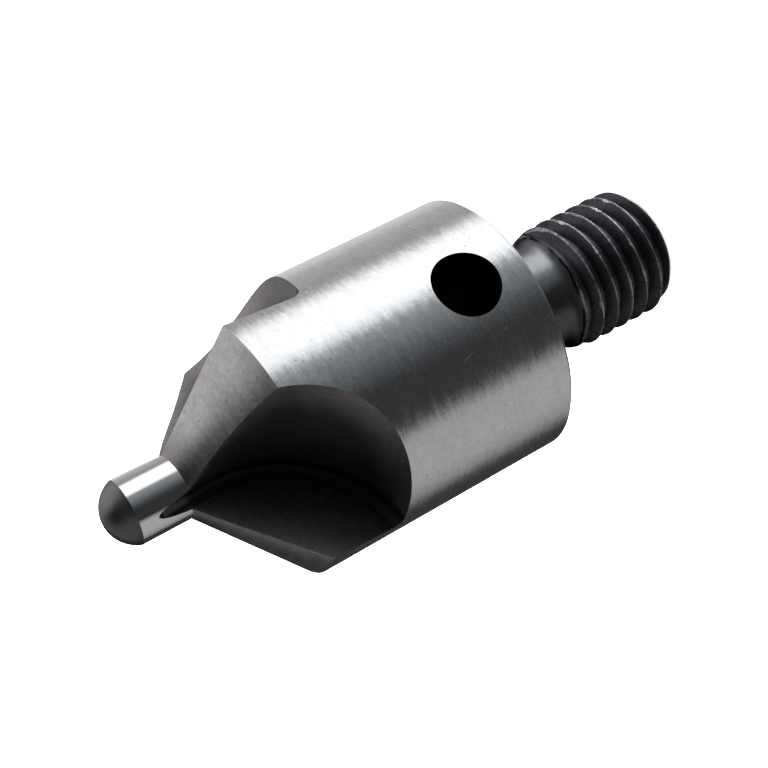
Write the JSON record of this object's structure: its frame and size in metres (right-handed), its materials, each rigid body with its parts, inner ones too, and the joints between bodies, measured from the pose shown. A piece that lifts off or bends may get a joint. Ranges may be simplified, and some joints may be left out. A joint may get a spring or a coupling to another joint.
{
  "type": "countersink cutter",
  "caption": "Piloted countersink cutter in one piece of tool steel: fluted conical head with a round pilot, cylindrical body with a cross hole, and a threaded shank behind a shoulder.",
  "frame": {"origin": "centre of the threaded shank's flat end, on which the tool stands", "axes": "+Z along the tool's axis from the shank to the pilot, the way it is fed into the work; -Y out of the front mouth of the bar hole"},
  "size_m": [0.0126, 0.0126, 0.0297],
  "materials": {
    "ground_steel": "ground tool steel: bright on the body and pilot, dark satin in the flutes, black oxide on the threaded shank"
  },
  "bodies": {
    "root": {"countersink_cutter": "ground_steel"}
  },
  "joints": []
}
